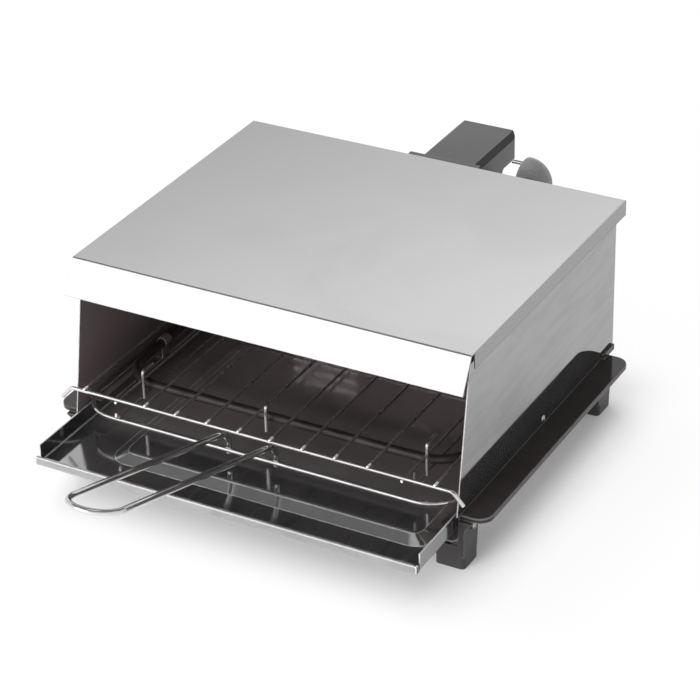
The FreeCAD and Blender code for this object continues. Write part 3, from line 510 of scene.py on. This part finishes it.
def plastic(name):
    f = plastics[name]
    mat, tree, shader, place = newMaterial(name)
    skin = use(tree, "mouldedSkin", Place=place, Scale=f["scale"], Colour=f["colour"] + (1,))
    edge = use(tree, "edgeGleam", Place=place, Size=edgeWearAndShine["coat"])["Mask"]
    # painted highlight on the edges, partly wear
    colour = mixedColour(tree, edge, skin["Colour"], (f["edge"],) * 3 + (1,))
    # painted shade on the slanted faces
    if name == "boxPlastic":
        x, y, z = axesOf(tree, node(tree, "NewGeometry").outputs["Normal"])
        slanted = calc(tree, "MULTIPLY", calc(tree, "ABSOLUTE", x),
                       calc(tree, "MAXIMUM", z, 0.0))
        slanted = between(tree, slanted, *chamferShade["slant"])
        colour = mixedColour(tree, slanted, colour, chamferShade["colour"])
    feed(tree, shader.inputs["Base Color"], colour)
    feed(tree, shader.inputs["Roughness"], skin["Roughness"])
    addBump(tree, shader, skin["Height"], f["depth"])
    return mat


# the heater's sheath: dark oxide with browner patches
oxide = dict(colour=(0.03, 0.026, 0.026, 1), patch=(0.055, 0.045, 0.042, 1), scale=30.0,
             shown=(0.35, 0.7), smear=30.0, rough=(0.28, 0.42), metallic=0.4, grain=900.0,
             strength=0.1)


def heatedTube():
    mat, tree, shader, place = newMaterial("heaterTube")
    patch = between(tree, noise(tree, place, oxide["scale"]), *oxide["shown"])
    colour = mixedColour(tree, patch, oxide["colour"], oxide["patch"])
    feed(tree, shader.inputs["Base Color"], colour)
    mask = use(tree, "handlingMarks", Place=place, Size=oxide["smear"])["Mask"]
    feed(tree, shader.inputs["Roughness"], between(tree, mask, 0.0, 1.0, *oxide["rough"]))
    shader.inputs["Metallic"].default_value = oxide["metallic"]
    addBump(tree, shader, noise(tree, place, oxide["grain"]), oxide["strength"])
    return mat


# unglazed ceramic and woven sleeve: matt with a fine speckle
chalks = {
    "ceramic": dict(colour=(0.62, 0.6, 0.55), scale=600.0),
    "leadSleeve": dict(colour=(0.6, 0.58, 0.52), scale=1600.0),
}
speckle = dict(detail=3.0, shown=(0.2, 0.8), tone=(0.75, 1.1), rough=(0.65, 0.85), strength=0.3,
               depth=0.0002)


def chalky(name):
    f = chalks[name]
    mat, tree, shader, place = newMaterial(name)
    fleck = noise(tree, place, f["scale"], speckle["detail"])
    tone = between(tree, fleck, *speckle["shown"], *speckle["tone"])
    feed(tree, shader.inputs["Base Color"], dimmed(tree, f["colour"], tone))
    rough = between(tree, fleck, *speckle["shown"], *speckle["rough"])
    feed(tree, shader.inputs["Roughness"], rough)
    addBump(tree, shader, fleck, speckle["strength"], speckle["depth"])
    return mat


# finishes by material slot
slotFinish = {
    "black_enamel": "blackEnamel", "black_plastic": "footPlastic", "grey_plastic": "greyPlastic",
    "polished_steel": "polishedSteel", "side_steel": "sideSteel", "tray_steel": "traySteel",
    "zinc_sheet": "zincSheet", "zinc_screw": "zincScrew", "reflector_sheet": "reflectorSheet",
    "chromed_wire": "chromedWire", "heater_tube": "heaterTube", "brass_part": "brassPart",
    "ceramic": "ceramic", "lead_sleeve": "leadSleeve",
}

# nodes whose finish differs from the rest of their slot
nodeFinish = {
    "terminal_box": "boxPlastic", "hood_back": "backSheet",
    "tray_runner_left": "darkSheet", "tray_runner_right": "darkSheet",
    "rack_ledge_left": "darkSheet", "rack_ledge_right": "darkSheet",
    "rack_rods": "wornWire", "rack_rear_bar": "wornWire", "rack_side_wires": "wornWire",
    "knob_stop_pin": "chromedWire", "upper_heater_stays": "reflectorSheet",
    "lower_heater_brackets": "reflectorSheet",
}


def dressNodes():
    for makeGroup in (handlingMarks, rollingGrain, edgeGleam, mouldedSkin):
        groups[makeGroup.__name__] = makeGroup()
    finish = {name: metal(name) for name in metals}
    finish.update({name: plastic(name) for name in plastics})
    finish["blackEnamel"] = enamel()
    finish["heaterTube"] = heatedTube()
    finish.update({name: chalky(name) for name in chalks})
    for row in frame["record"]["subparts"]:
        chosen = nodeFinish.get(row["node"], slotFinish[row["material_slot"]])
        mesh = nodes[row["node"]].data
        mesh.materials.clear()
        mesh.materials.append(finish[chosen])


makeCamera()
for name in lamps:
    makeLamp(name)
makeFloor()
makeWorld()
print("camera, lamps and surroundings made")
dressNodes()
print("finishes given to", len(nodes), "nodes")
